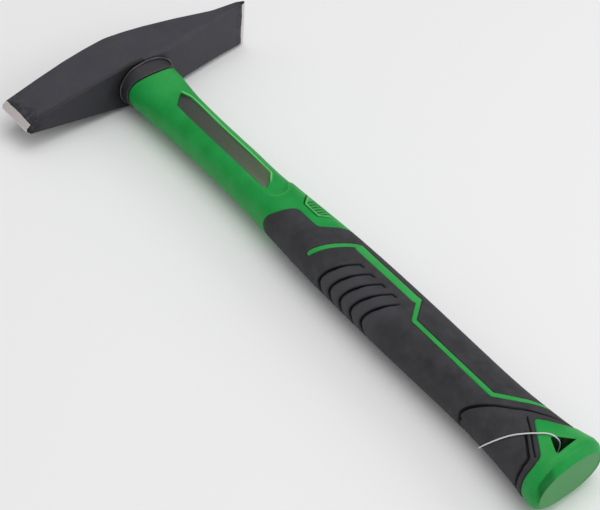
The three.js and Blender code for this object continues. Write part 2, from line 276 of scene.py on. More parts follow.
def line_on_top(plan, radius=2.0):
    """Plan outline of (x, y) points as a line that lies on the upper surface, up to its edge."""
    x, y = fill_in(round_corners(plan, radius), LINE_SPACING).T
    on_handle = np.abs(y) <= half_width(x)
    kept = on_handle.copy()
    kept[1:] |= on_handle[:-1]
    kept[:-1] |= on_handle[1:]
    return form(x[kept], angle_at(x[kept], y[kept]))


def line_round(pairs, radius=3.0):
    """Line on the surface from (x, degrees round from the top) pairs."""
    arc = 0.25  # rough length of a degree, so that corners round evenly
    scaled = [(x, degrees * arc) for x, degrees in pairs]
    line = fill_in(round_corners(scaled, radius), LINE_SPACING)
    return form(line[:, 0], np.radians(line[:, 1] / arc))


def fold(points):
    """Both broad faces carry the same pattern, so the lower one is read as the upper one."""
    folded = points.copy()
    folded[..., 2] = np.abs(folded[..., 2])
    return folded


# ---- outlines on the handle (x, y)
GRIP_FRONT = [
    (137, -26), (137.2, -16), (138.8, -14), (143.6, -10.1), (146, -6.2), (149.3, -1.61),
    (166, -1.6), (169.9, 3.4), (173.8, 10.6), (176, 16), (177, 26),
]
GRIP_REAR = [
    (342.3, -26), (342.3, -20), (342.6, -15.8), (341.8, -10.8), (336.7, -7), (330.2, -2.8),
    (323.4, 1.8), (327.2, 6), (332, 10.6), (335.4, 14.4), (338, 18), (339.6, 26),
]
STRIPE_NARROW = 2.7
STRIPE_WIDE = 5.4
STRIPE_START = [(175, -13.6), (178, -9.3), (180.6, -5), (184, 0.4), (187.2, 5.3), (189.3, 8)]
STRIPE_MIDDLE = [(190.2, 6.4), (233, 6.4)]
STRIPE_END = [
    (233.6, 8.2), (243.8, -3.7), (301, -3.9), (305.6, -0.1), (311, 4.7), (318.6, 13.3), (322.6, 26),
]
BADGE = [
    (42.3, 2.3), (48, 4.9), (58, 4.9), (82, 4.4), (118.6, 4.4), (124.2, -0.2), (127, -4.2),
    (126, -5.15), (57, -5.15), (49.2, -4.9),
]
BADGE_CORNER = 0.8
BADGE_TOP = 10.8
BADGE_THICKNESS = 0.9
PAD = [
    (138.6, 26), (139.4, 15), (142.2, 9.6), (148.4, 3.2), (160.2, 3), (163.2, 8), (164.8, 13),
    (165, 26),
]
PAD_CORNER = 1.0
PANEL_ARC = [
    (131, -6.2), (134.7, -4.5), (136, 0.7), (134.1, 4), (128.4, 7.8), (129.1, 9.2), (129.3, 20),
]
LANYARD = [(335.7, 0.8), (344.2, 9.9), (346, -4.6)]
LANYARD_CORNER = 2.0

# Grooves in the rubber, as (x, degrees round from the top).
FINGER_STARTS = [199.6, 207.9, 216.3, 224.6, 233.0]
FINGER_SWEEP = [  # degrees, and how far a finger groove has run back towards the head
    (-90, -13), (-80, -12.3), (-70, -11.2), (-60, -10.1), (-50, -8.9), (-41, -7.5), (-31, -6),
    (-15, -2.8), (-3, 0),
]
PALM_GROOVE = [
    (296, -90), (294.4, -88), (295, -75), (298.2, -54), (302.6, -35), (306.7, -20), (312.4, -5),
    (317.8, 7), (323.2, 20), (327.4, 34), (330.5, 41), (334.2, 50),
]
INNER_GROOVE = [(321, 0), (325.8, -6.5), (329.4, -12.5), (333.6, -20.5), (340, -32.5)]
BUTT_GROOVE = [
    (327.5, -18), (330.6, -24), (334.3, -32), (338.4, -41), (338.7, -52), (338.9, -68),
    (339, -90),
]


def side_of(points, plan, radius=2.0):
    """+1 where a point lies further along x than a boundary drawn from -Y to +Y, else -1."""
    line = fill_in(round_corners(plan, radius), BOUNDARY_SPACING)
    return np.where(points[..., 0] > np.interp(points[..., 1], line[:, 1], line[:, 0]), 1.0, -1.0)


def into_rubber(points):
    """Signed distance to where green and rubber meet: positive on the rubber."""
    front = distance(points, line_on_top(GRIP_FRONT)) * side_of(points, GRIP_FRONT)
    rear = distance(points, line_on_top(GRIP_REAR)) * side_of(points, GRIP_REAR)
    outline = np.minimum(front, -rear)
    for plan, width, radius in [
        (STRIPE_START, STRIPE_NARROW, 2.0),
        (STRIPE_MIDDLE, STRIPE_WIDE, 1.0),
        (STRIPE_END, STRIPE_NARROW, 0.8),
    ]:
        outline = np.minimum(outline, distance(points, line_on_top(plan, radius)) - width / 2)
    return outline


def inside_outline(points, plan, radius):
    """Signed distance in plan to a closed outline: positive inside it."""
    line = round_corners(plan, radius, closed=True)
    x, y = points[..., 0], points[..., 1]
    inside = np.zeros(x.shape, bool)
    for (ax, ay), (bx, by) in zip(line[:-1], line[1:]):
        if ay != by:
            crosses = (ay > y) != (by > y)
            inside ^= crosses & (x < (bx - ax) * (y - ay) / (by - ay) + ax)
    gap = distance(points[..., :2], line, np.inf)
    return np.where(inside, gap, -gap)


# ---- meshes and pieces
def mark(mesh, **fields):
    """Writes values for each point, for the materials; points past a field's values get 0."""
    for name, values in fields.items():
        padded = np.zeros(len(mesh.vertices), np.float32)
        padded[:values.size] = values.ravel()
        mesh.attributes.new(name, "FLOAT", "POINT").data.foreach_set("value", padded)


def new_mesh(name, points, faces):
    """Mesh from points in the hammer's own millimetres."""
    mesh = bpy.data.meshes.new(name)
    mesh.from_pydata(place(points).tolist(), [], faces)
    return mesh


def skin(name, rings, loop=False):
    """Closed mesh over rows of rings. A loop joins its last ring to its first; otherwise a fan
    closes each end."""
    rows, columns = rings.shape[:2]
    points = rings.reshape(-1, 3)
    index = np.arange(rows * columns).reshape(rows, columns)
    if loop:
        index = np.vstack([index, index[:1]])
    right = np.roll(index, -1, axis=1)
    quads = np.stack([index[:-1], index[1:], right[1:], right[:-1]], axis=-1).reshape(-1, 4)
    faces = quads.tolist()
    if not loop:
        middles = [rings[0].mean(axis=0), rings[-1].mean(axis=0)]
        points = np.vstack([points, middles])
        first, last = len(points) - 2, len(points) - 1
        faces += [(first, a, b) for a, b in zip(index[0].tolist(), right[0].tolist())]
        faces += [(last, b, a) for a, b in zip(index[-1].tolist(), right[-1].tolist())]
    return new_mesh(name, points, faces)


def add_piece(data, material, node):
    """Object that stands for a CAD node, with the given material; the node's own part is hidden."""
    piece = add_object(data.name, data)
    piece.data.materials.append(material)
    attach(piece, "root")
    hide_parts(node)
    return piece


def smooth(mesh, degrees):
    """Smooth shading, with a hard edge wherever faces meet at more than the angle."""
    mesh.shade_smooth()
    mesh.set_sharp_from_angle(angle=math.radians(degrees))


def face_grid(mesh):
    """Middle of each face, in the hammer's own millimetres, and its direction."""
    middles = np.empty(3 * len(mesh.polygons))
    directions = np.empty(3 * len(mesh.polygons))
    mesh.polygons.foreach_get("center", middles)
    mesh.polygons.foreach_get("normal", directions)
    return middles.reshape(-1, 3) / MM - HOME, directions.reshape(-1, 3)


def paint_faces(piece, material, chosen):
    """Gives the chosen faces a second material."""
    piece.data.materials.append(material)
    piece.data.polygons.foreach_set("material_index", chosen.astype(np.int32))


def baked(piece):
    """Puts a piece's modifiers into its mesh."""
    depsgraph = bpy.context.evaluated_depsgraph_get()
    mesh = bpy.data.meshes.new_from_object(piece.evaluated_get(depsgraph))
    piece.modifiers.clear()
    piece.data = mesh


def cut_away(piece, cutter_mesh):
    """Takes a closed mesh away from a piece."""
    cutter = add_object("cutter", cutter_mesh)
    modifier = piece.modifiers.new("cut", "BOOLEAN")
    modifier.operation = "DIFFERENCE"
    modifier.solver = "MANIFOLD"
    modifier.object = cutter
    baked(piece)
    bpy.data.objects.remove(cutter)
    while len(piece.data.materials) > 1:  # the cutter leaves an empty slot behind
        piece.data.materials.pop()


def upright_prism(name, outline, bottom, top):
    """Closed wall over a plan outline that doesn't repeat its first point."""
    area = sum(a[0] * b[1] - b[0] * a[1] for a, b in zip(outline, np.roll(outline, -1, axis=0)))
    ordered = outline if area > 0 else outline[::-1]
    count = len(ordered)
    points = [(x, y, z) for z in (bottom, top) for x, y in ordered]
    faces = [list(range(count))[::-1], list(range(count, 2 * count))]
    faces += [[i, (i + 1) % count, count + (i + 1) % count, count + i] for i in range(count)]
    return new_mesh(name, points, faces)


# ---- materials
NOISE_LOW = 0.3  # most of a noise's values lie between these two
NOISE_HIGH = 0.7
MIX_A = 6  # the mix node's sockets for colours
MIX_B = 7
MIX_RESULT = 2


class Surface:
    """A principled material whose noise textures are laid out in metres."""

    def __init__(self, name, roughness=0.5, metallic=0.0, specular=0.5):
        self.material = bpy.data.materials.new(name)
        self.material.use_nodes = True
        self.nodes = self.material.node_tree.nodes
        self.links = self.material.node_tree.links
        self.shader = self.nodes["Principled BSDF"]
        self.shader.inputs["Metallic"].default_value = metallic
        self.shader.inputs["Roughness"].default_value = roughness
        self.shader.inputs["Specular IOR Level"].default_value = specular
        self.coordinates = self.nodes.new("ShaderNodeTexCoord").outputs["Object"]

    def fill(self, socket, source):
        """Links a socket to another node's output, or sets it to a plain value or colour."""
        if isinstance(source, bpy.types.NodeSocket):
            self.links.new(source, socket)
        elif socket.type == "RGBA":
            socket.default_value = (*source, 1.0)
        else:
            socket.default_value = source

    def node(self, kind, output, **inputs):
        """Output of a new node; an input's name has _ for each space."""
        node = self.nodes.new(kind)
        for name, source in inputs.items():
            self.fill(node.inputs[name.replace("_", " ")], source)
        return node.outputs[output]

    def noise(self, size_mm, detail=3.0, stretch=(1, 1, 1), rough=0.5):
        """Noise whose features are about size_mm across."""
        spot = self.node("ShaderNodeMapping", "Vector", Vector=self.coordinates, Scale=stretch)
        return self.node(
            "ShaderNodeTexNoise", "Fac", Vector=spot, Scale=1 / (size_mm * MM), Detail=detail,
            Roughness=rough,
        )

    def attribute(self, name):
        node = self.nodes.new("ShaderNodeAttribute")
        node.attribute_name = name
        return node.outputs["Fac"]

    def ramp(self, value, low, high, start=0.0, end=1.0):
        """Value mapped from low..high to start..end."""
        return self.node(
            "ShaderNodeMapRange", "Result", Value=value, From_Min=low, From_Max=high,
            To_Min=start, To_Max=end,
        )

    def mix(self, value, first, second):
        """Colour between two colours, each a plain colour or another node's output."""
        node = self.nodes.new("ShaderNodeMix")
        node.data_type = "RGBA"
        self.fill(node.inputs["Factor"], value)
        self.fill(node.inputs[MIX_A], first)
        self.fill(node.inputs[MIX_B], second)
        return node.outputs[MIX_RESULT]

    def colour(self, value, first, second):
        """Base colour between two colours, as in mix()."""
        self.fill(self.shader.inputs["Base Color"], self.mix(value, first, second))

    def roughness(self, noise, low, high):
        """Roughness that follows a noise from low to high."""
        uneven = self.ramp(noise, NOISE_LOW, NOISE_HIGH, low, high)
        self.fill(self.shader.inputs["Roughness"], uneven)

    def bump(self, height, height_mm):
        """Adds a height; each one is laid over those added before."""
        below = self.shader.inputs["Normal"].links
        inputs = {"Normal": below[0].from_socket} if below else {}
        bumped = self.node(
            "ShaderNodeBump", "Normal", Height=height, Distance=height_mm * MM, **inputs,
        )
        self.fill(self.shader.inputs["Normal"], bumped)


def coated_steel():
    """Dark grey coating on the forged head: fine grain, uneven tone, soot where it was burnt, and
    painted shade on the face that the handle meets.
    """
    look = Surface("coated_steel", specular=0.25)
    blotches = look.noise(14, 4, rough=0.6)
    grain = look.noise(0.45, 2)
    cool = look.mix(blotches, (0.036, 0.0355, 0.050), (0.066, 0.063, 0.083))
    warm = look.mix(blotches, (0.044, 0.042, 0.044), (0.070, 0.067, 0.073))
    patches = look.ramp(look.noise(5, 3, rough=0.6), 0.35, 0.65)
    base = look.mix(patches, cool, warm)
    spots = look.ramp(look.noise(3, 3), 0.42, 0.58)
    scorched = look.mix(spots, base, (0.014, 0.013, 0.016))
    scorch = look.ramp(look.attribute("scorch"), 0, 1, 0, 0.75)
    singed = look.mix(scorch, base, scorched)
    # painted shade on the face that the handle meets, and soot along the ground ends
    sooty = look.mix(look.attribute("grime"), singed, (0.003, 0.003, 0.003))
    look.colour(look.ramp(grain, 0.55, 0.75, 0, 0.3), sooty, (0.08, 0.08, 0.09))
    look.roughness(blotches, 0.5, 0.66)
    look.bump(grain, 0.02)
    look.bump(look.noise(3.5, 3), 0.03)
    return look.material


def ground_steel():
    """Bare steel of the sharpened ends, with grinding lines across the edge."""
    look = Surface("ground_steel", metallic=0.6)
    lines = look.noise(0.6, 3, stretch=(1.0, 0.12, 1.0))
    look.colour(lines, (0.55, 0.51, 0.495), (0.82, 0.77, 0.75))
    look.roughness(lines, 0.42, 0.6)
    look.bump(lines, 0.02)
    return look.material


def green_plastic():
    """Semi-gloss green moulding, with painted shade in its seams and hollows, painted highlights on
    raised edges, and a painted floor reflection on the butt's end face.
    """
    look = Surface("green_plastic", specular=0.22)
    mottle = look.ramp(look.noise(13, 4, rough=0.55), NOISE_LOW, NOISE_HIGH)
    grain = look.noise(0.5, 2)
    base = look.mix(mottle, (0.003, 0.272, 0.040), (0.014, 0.345, 0.067))
    # painted highlights: paler green where the painted light attribute says
    lit = look.mix(look.attribute("ridge"), base, (0.20, 0.80, 0.20))
    # painted reflection of the floor on the butt's end face, paler and greyer
    scuffing = look.ramp(look.attribute("scuff"), 0, 1, 0, 0.8)
    dull = look.mix(scuffing, lit, (0.08, 0.28, 0.10))
    # painted shade down in seams, grooves and hollows
    look.colour(look.attribute("crease"), dull, (0.001, 0.060, 0.008))
    look.roughness(grain, 0.36, 0.5)
    look.bump(grain, 0.012)
    look.bump(look.noise(6, 2), 0.03)
    return look.material


def hole_wall():
    """The same green down the lanyard hole, darkened as painted shade."""
    look = Surface("green_plastic_deep", roughness=0.6)
    look.colour(look.noise(5, 3), (0.001, 0.030, 0.005), (0.002, 0.060, 0.010))
    look.bump(look.noise(1.5, 2), 0.03)
    return look.material


def grip_rubber():
    """Matt black rubber with a fine sandy grain, and painted shade in its grooves and under its edge.
    """
    look = Surface("grip_rubber", specular=0.25)
    mottle = look.noise(9, 4, rough=0.6)
    tone = look.ramp(mottle, NOISE_LOW, NOISE_HIGH)
    base = look.mix(tone, (0.028, 0.0275, 0.030), (0.054, 0.052, 0.060))
    rubbed = look.mix(look.attribute("worn"), base, (0.058, 0.056, 0.064))
    # painted shade in the grooves and along the edge by the green
    look.colour(look.attribute("crease"), rubbed, (0.001, 0.001, 0.0015))
    look.roughness(mottle, 0.66, 0.8)
    look.bump(look.noise(0.35, 2), 0.03)
    look.bump(look.noise(2.5, 3), 0.03)
    return look.material


def collar_plastic():
    """Dull black plastic, a little rough from the mould."""
    look = Surface("collar_plastic")
    mottle = look.noise(4, 4)
    look.colour(mottle, (0.021, 0.021, 0.025), (0.037, 0.036, 0.042))
    look.roughness(mottle, 0.4, 0.55)
    look.bump(look.noise(1.2, 3), 0.03)
    return look.material


def black_resin():
    """Glossy black epoxy with an uneven, flowed look."""
    look = Surface("black_resin", specular=0.6)
    look.shader.inputs["Coat Weight"].default_value = 0.25
    mottle = look.noise(2, 3)
    look.colour(mottle, (0.008, 0.008, 0.010), (0.016, 0.016, 0.019))
    look.roughness(mottle, 0.14, 0.3)
    look.bump(look.noise(2.5, 2), 0.14)
    return look.material


def fibreglass():
    """Cut end and body of the pultruded core: pale resin with strands along its length."""
    look = Surface("fibreglass")
    strands = look.noise(0.5, 3, stretch=(0.03, 1, 1))
    look.colour(strands, (0.30, 0.24, 0.08), (0.62, 0.53, 0.26))
    look.roughness(strands, 0.4, 0.6)
    look.bump(strands, 0.05)
    return look.material


def badge_film():
    """Printed badge, its colour going from charcoal at the head end to olive grey towards the butt as
    a painted reflection.
    """
    look = Surface("badge_film")
    x = look.node("ShaderNodeSeparateXYZ", "X", Vector=look.coordinates)
    start, end = place([(45, 0, 0), (128, 0, 0)])[:, 0]
    along = look.ramp(x, start, end)
    grain = look.noise(0.4, 2)
    # painted reflection: the badge turns from charcoal to olive grey along the handle
    base = look.mix(along, (0.030, 0.035, 0.032), (0.080, 0.114, 0.062))
    look.colour(look.ramp(grain, 0.5, 0.8, 0, 0.3), base, (0.12, 0.14, 0.11))
    look.roughness(grain, 0.26, 0.36)
    look.bump(grain, 0.006)
    return look.material


def nylon_thread():
    """White thread with a fine twist."""
    look = Surface("nylon_thread")
    twist = look.noise(0.4, 2)
    look.colour(twist, (0.62, 0.62, 0.64), (0.86, 0.86, 0.88))
    look.roughness(twist, 0.35, 0.5)
    look.bump(twist, 0.03)
    return look.material


# ---- tag string
STRING_ROUTE = [
    (338.9, 1.7, -3.2), (339.3, 2.4, 1), (339.7, 3.4, 5), (339.8, 3.9, 9), (339.4, 3.5, 11.9),
    (338.6, 2.6, 13.7), (336.9, 1.5, 14.9), (334.7, 0.2, 14.9), (331.5, -3.6, 14.6),
    (328, -8.1, 13.9), (324.5, -12.3, 12.2), (322.2, -14.9, 10.2), (319.8, -17.1, 7.5),
    (316.9, -18.5, 3.6), (314.2, -18.6, -0.4), (311.9, -18, -4.1), (309.8, -16.2, -7.8),
    (308, -13.1, -10.8),
    (307, -10.4, -12.4), (307.1, -7.8, -13.4), (308.6, -5.4, -14), (311.6, -3.5, -14.3),
    (316.5, -1.9, -14.5), (322, -0.6, -14.6), (328, 0.5, -14.7), (333.5, 1.2, -14.9),
    (336.6, 1.5, -14.8), (338.3, 1.6, -13.4), (338.9, 1.7, -10.5), (338.9, 1.7, -6),
]
STRING_DIAMETER = 0.7
KNOT_PLACE = (338.9, 1.7, -4.6)
KNOT_DIAMETER = 2.2
KNOT_HEIGHT = 0.55  # its height over its width


def thread_curve(name, roundness):
    """Empty curve as thick as the string."""
    curve = bpy.data.curves.new(name, "CURVE")
    curve.dimensions = "3D"
    curve.bevel_depth = STRING_DIAMETER / 2 * MM
    curve.bevel_resolution = roundness
    return curve


def make_knot(thread):
    """Overhand knot drawn tight: a trefoil of the same thread."""
    turns = np.linspace(0, 2 * math.pi, 73)[:-1]
    loops = np.stack([
        (np.sin(turns) + 2 * np.sin(2 * turns)) / 3,
        (np.cos(turns) - 2 * np.cos(2 * turns)) / 3,
        -KNOT_HEIGHT * np.sin(3 * turns),
    ], axis=-1)
    loops = loops * (KNOT_DIAMETER - STRING_DIAMETER) / 2 + KNOT_PLACE
    curve = thread_curve("thread_knot", 3)
    path = curve.splines.new("POLY")
    path.points.add(len(loops) - 1)
    for point, spot in zip(path.points, place(loops)):
        point.co = (*spot, 1.0)
    path.use_cyclic_u = True
    return add_piece(curve, thread, "string_knot")


def make_string():
    thread = nylon_thread()
    curve = thread_curve("tag_thread", 4)
    curve.resolution_u = 8
    curve.use_fill_caps = True
    route = curve.splines.new("BEZIER")
    route.bezier_points.add(len(STRING_ROUTE) - 1)
    for point, spot in zip(route.bezier_points, place(STRING_ROUTE)):
        point.co = spot
        point.handle_left_type = "AUTO"
        point.handle_right_type = "AUTO"
    string = add_piece(curve, thread, "tag_string")
    knot = make_knot(thread)


# ---- head
HEAD_STATIONS = [  # y, crown side x, handle side x, half thickness, edge radius
    (-75, -10.6, 11.5, 0.35, 0.25), (-74.2, -11.7, 12.3, 1.2, 0.3), (-72, -11.4, 12.6, 3.4, 0.6),
    (-52, -13.9, 12, 6.9, 0.7), (-34, -15.7, 11.4, 10, 0.8), (-20, CROWN_X, SEAT_X, 12.4, 0.9),
    (-8, -16, SEAT_X, 14.4, 1), (4, -15.4, SEAT_X, 14.4, 1.4), (16, -14.3, SEAT_X, 14.4, 2.4),
    (34, -11.4, 7.6, 14.3, 3.4), (56, -5.6, 3.5, 14.1, 2.6), (71, -3.9, 0.9, 14, 1.2),
    (75, -1.9, -0.6, 14, 0.3),
]
HEAD_ROUNDING = 2.5  # how softly one station leads into the next
GROUND_LEFT_Y = -72.0  # bare steel lies beyond these two places
GROUND_RIGHT_Y = 72.7
GRINDING_WANDER = 0.16  # how far the edge of a ground face strays from straight
GRINDING_REACH = 1.6  # how far the rows beside it stray with it
NEAR_GROUND = np.array([0.1, 0.3, 0.5, 0.8, 1.2, 1.8, 2.5])  # close rows beside a ground end
SEAT_POLISH = 0.36  # painted shade on the face that the handle meets
COLLAR_POLISH = 0.8  # the same right beside the collar
SOOT = 0.8  # darkness of the coating along a ground end
SOOT_REACH = 0.7
LEFT_SCORCH_REACH = 11.0  # how far the grinding's heat reached into the coating
RIGHT_SCORCH_REACH = 6.0
RIGHT_SCORCH = 0.6  # its strength there; it is 1 at the left end
EYE_Y = 0.8
EYE_SIZE = (12.0, 9.0)
EYE_TAPER = 1.0  # how much wider the eye is at the crown than at the handle


def head_ring(y, crown, seat, half, edge, corner_steps=7, face_steps=24):
    """Rounded rectangle across the head, with points along its flats as well."""
    centres = [
        (crown + edge, edge - half, 180), (crown + edge, half - edge, 90),
        (seat - edge, half - edge, 0), (seat - edge, edge - half, -90),
    ]
    corners = []
    for x, z, start in centres:
        turns = np.radians(np.linspace(start + 90, start, corner_steps))
        corners.append(np.stack([x + edge * np.cos(turns), z + edge * np.sin(turns)], axis=-1))
    ring = []
    for corner, ahead in zip(corners, corners[1:] + corners[:1]):
        shares = np.linspace(0, 1, face_steps + 1)[1:-1, None]
        ring += [*corner, *(corner[-1] + (ahead[0] - corner[-1]) * shares)]
    ring = np.array(ring)
    return np.stack([ring[:, 0], np.full(len(ring), y), ring[:, 1]], axis=-1)


def head_rings():
    """Rings along the head, closer together at the ground ends."""
    stations = np.array(HEAD_STATIONS, float)
    places = stations[:, 0]
    rows = np.unique(np.concatenate([
        places[:2],
        np.linspace(GROUND_LEFT_Y - 1.9, GROUND_LEFT_Y - 0.2, 5),
        GROUND_LEFT_Y + NEAR_GROUND,
        np.linspace(GROUND_LEFT_Y, GROUND_RIGHT_Y, 150),
        GROUND_RIGHT_Y - NEAR_GROUND,
        np.linspace(GROUND_RIGHT_Y + 0.3, places[-1], 7),
        places[-2:],
    ]))
    shape = []
    for column in range(1, 5):
        line = stations[:, [0, column]]
        line = np.concatenate([line[:2], round_corners(line[2:-1], HEAD_ROUNDING), line[-1:]])
        shape.append(np.interp(rows, line[:, 0], line[:, 1]))
    return np.array([head_ring(y, *sizes) for y, *sizes in zip(rows, *shape)])


def head_grime(points):
    """Painted shade on the face that the handle meets, darkest by the collar, and soot beside the
    ground ends.
    """
    x, y, z = points[..., 0], points[..., 1], points[..., 2]
    from_collar = np.hypot((y - COLLAR_Y) / COLLAR_SIZE[0], z / COLLAR_SIZE[1]) - 1
    on_seat = step(SEAT_X - 2, SEAT_X - 0.5, x) * (y < COLLAR_Y)
    # painted shade, where the handle and collar would shadow the seat face
    polish = on_seat * np.maximum(COLLAR_POLISH * step(1.0, 0.0, from_collar), SEAT_POLISH)
    inward = np.minimum(y - GROUND_LEFT_Y, GROUND_RIGHT_Y - y)
    return np.maximum(polish, SOOT * step(SOOT_REACH, 0.1, inward))


def scorching(points):
    """How strongly the grinding's heat has marked the coating."""
    y = points[..., 1]
    left = step(LEFT_SCORCH_REACH, 2, y - GROUND_LEFT_Y)
    right = RIGHT_SCORCH * step(RIGHT_SCORCH_REACH, 1, GROUND_RIGHT_Y - y)
    return np.maximum(left, right)


def grinding_edge(x, z):
    """How far the edge of a ground face strays at a point, being ground by hand."""
    across = x + z
    return GRINDING_WANDER * (np.sin(0.35 * across) + 0.4 * np.sin(1.1 * across + 1))


def eye_cutter():
    """Closed solid of the eye, longer at both ends than the head is deep."""
    angles = even_angles(96)
    rings = [
        oval_ring(x, EYE_SIZE, angles, grow, EYE_Y)
        for x, grow in [(CROWN_X - 4, EYE_TAPER * 1.3), (SEAT_X + 4, 0.0)]
    ]
    return skin("eye_cutter", np.array(rings))


def make_head():
    rings = head_rings()
    # painted shade on the seat face, with soot beside the ground ends
    grime = head_grime(rings)
    scorch = scorching(rings)
    for ground_y in (GROUND_LEFT_Y, GROUND_RIGHT_Y):
        near = step(GRINDING_REACH, 0.0, np.abs(rings[..., 1] - ground_y))
        rings[..., 1] += grinding_edge(rings[..., 0], rings[..., 2]) * near
    mesh = skin("head_forging", rings)
    mark(mesh, grime=grime, scorch=scorch)
    head = add_piece(mesh, coated_steel(), "hammer_head")
    cut_away(head, eye_cutter())
    middle, normal = face_grid(head.data)
    x, y, z = middle.T
    beyond = np.maximum(GROUND_LEFT_Y - y, y - GROUND_RIGHT_Y)
    beyond += grinding_edge(x, z) * np.sign(-y)
    paint_faces(head, ground_steel(), (beyond > 0) & (np.abs(normal[:, 1]) > 0.3))
    smooth(head.data, 24)


# ---- collar, bead and eye filling
COLLAR_SIZE = (15.7, 12.8)
COLLAR_Y = 0.8
COLLAR_SIDE_LENGTH = 6.6  # the collar is short on the edges and long on the broad faces
COLLAR_FACE_LENGTH = 10.6
COLLAR_CHAMFER = 0.3
COLLAR_RIM = 0.6  # radius of its free edge
BEAD_SIZE = (17.2, 13.7)
BEAD_Y = 1.2
BEAD_HEIGHT = 1.6
RESIN_X = CROWN_X + 2.0  # the resin's open face, a little way down in the eye
RESIN_FOOT_X = SEAT_X - 0.2
RESIN_FLARE = 0.4  # how much wider the eye is there than at the handle
RESIN_DIP = 0.5  # how far the cured resin has sunk between the eye's rim and the core


def collar_end(angles):
    rise = COLLAR_FACE_LENGTH - COLLAR_SIDE_LENGTH
    return SEAT_X + COLLAR_SIDE_LENGTH + rise * np.cos(angles) ** 2


def collar_ring(x, angles, inward=0.0):
    return oval_ring(x, COLLAR_SIZE, angles, -inward, COLLAR_Y)


def make_collar():
    angles = even_angles(160)
    end = collar_end(angles)
    foot = SEAT_X + GAP
    start = foot + COLLAR_CHAMFER
    rings = [collar_ring(foot, angles, COLLAR_CHAMFER), collar_ring(start, angles)]
    for share in np.linspace(0.15, 1, 8):
        rings.append(collar_ring(start + (end - COLLAR_RIM - start) * share, angles))
    for turn in np.radians([20, 40, 60, 80, 90]):
        x = end - COLLAR_RIM * (1 - math.sin(turn))
        rings.append(collar_ring(x, angles, COLLAR_RIM * (1 - math.cos(turn))))
    rings += [core_ring(x, angles) for x in (end, end - 3, foot)]
    mesh = skin("collar_sleeve", np.array(rings), loop=True)
    smooth(mesh, 50)
    add_piece(mesh, collar_plastic(), "head_collar")


def make_bead():
    """Bead of resin squeezed out between the collar and the head, so it bulges unevenly."""
    angles = even_angles(160)
    thick = (BEAD_SIZE[0] - COLLAR_SIZE[0]) / 2
    middle_x = SEAT_X + GAP + BEAD_HEIGHT / 2
    bulges = 0.18 * np.sin(3 * angles + 0.5) + 0.12 * np.sin(7 * angles)
    rings = []
    for turn in np.linspace(0, 2 * math.pi, 21)[1:]:
        out = thick * (math.cos(turn) - 1) + bulges * (1 + math.cos(turn)) / 2
        x = middle_x - BEAD_HEIGHT / 2 * math.sin(turn)
        rings.append(oval_ring(x, BEAD_SIZE, angles, out, BEAD_Y))
    mesh = skin("seat_bead", np.array(rings), loop=True)
    smooth(mesh, 60)
    add_piece(mesh, black_resin(), "collar_bead")


def make_eye_filling():
    """Resin round the core in the eye."""
    angles = even_angles(120)
    rings = [core_ring(RESIN_FOOT_X, angles)]
    for share in (1.0, 0.8, 0.5, 0.2):
        size = np.add(EYE_SIZE, RESIN_FLARE)
        size += (np.add(CORE_SIZE, GAP) - size) * share
        x = RESIN_X + RESIN_DIP * math.sin(math.pi * share)
        rings.append(oval_ring(x, size, angles, centre_y=EYE_Y * (1 - share)))
    for x, grow in [(RESIN_X + 0.3, RESIN_FLARE), (0.0, 0.1), (RESIN_FOOT_X, -GAP)]:
        rings.append(oval_ring(x, EYE_SIZE, angles, grow, EYE_Y))
    mesh = skin("eye_resin", np.array(rings), loop=True)
    smooth(mesh, 40)
    add_piece(mesh, black_resin(), "eye_epoxy")


def make_core():
    """Fibreglass bar with eased ends."""
    angles = even_angles(120)
    bar = [(CORE_START, -0.5), (CORE_START + 0.15, -0.15), (CORE_START + 0.5, 0.0)]
    bar += [(x, 0.0) for x in np.linspace(CORE_START + 20, CORE_END - 0.5, 16)]
    bar += [(CORE_END, -0.5)]
    mesh = skin("core_bar", np.array([core_ring(x, angles, grow) for x, grow in bar]))
    smooth(mesh, 40)
    add_piece(mesh, fibreglass(), "fibreglass_core")


# ---- rows along the handle
def row_places(spans):
    """Places along x from (start, end, spacing) spans that follow each other."""
    rows = [np.arange(start, end - spacing / 2, spacing) for start, end, spacing in spans]
    return np.concatenate(rows + [[spans[-1][1]]])


# ---- green moulding
MOULDING_START = 22.0  # rows begin here, and are then pulled back to follow the collar's end
FOLLOW_END = 44.0
MOULDING_ROWS = [  # start, end and spacing along x
    (MOULDING_START, 40, 1.5), (40, 50, 0.5), (50, 114, 1.5), (114, 138, 0.45), (138, 146, 0.5),
    (146, 165, 0.35), (165, 190, 0.5), (190, 234, 1.5), (234, 246, 0.5), (246, 296, 2.5),
    (296, WIDEST_X, 0.45),
]
COLLAR_LIP = [  # distance from the collar and height, over the rounded end beside it
    (0.0, -1.3), (0.1, -0.75), (0.35, -0.35), (0.7, -0.12), (1.2, 0.0),
]
END_BULGE = 0.25  # of the butt's end face
FACE_Z = 5.0  # points above this height are on a broad face
LIP_HEIGHT = 0.6  # lip along the badge
LIP_PLACE = 0.7  # from the badge's outline to the lip's crest
LIP_WIDTH = 0.45
PANEL_DEPTH = 0.7  # step down inside the arc between the badge and the grip
PAD_DEPTH = 2.1
HOLE_ROUNDING = 0.6
CAP_SHIFT = 0.6  # how far the butt's green cap stands towards +Y
SCOOP_X = 350.0  # where a hollow in the cap's shoulder starts, by its -Y corner
SCOOP_DEPTH = 0.7
STRIPE_LIGHT = 0.1  # painted paler than the rest: the stripes, and painted highlights on the cap, the neck's end and the arc's edge
CAP_LIGHT = 0.08
NECK_LIGHT = 0.06
ARC_LIGHT = 0.13


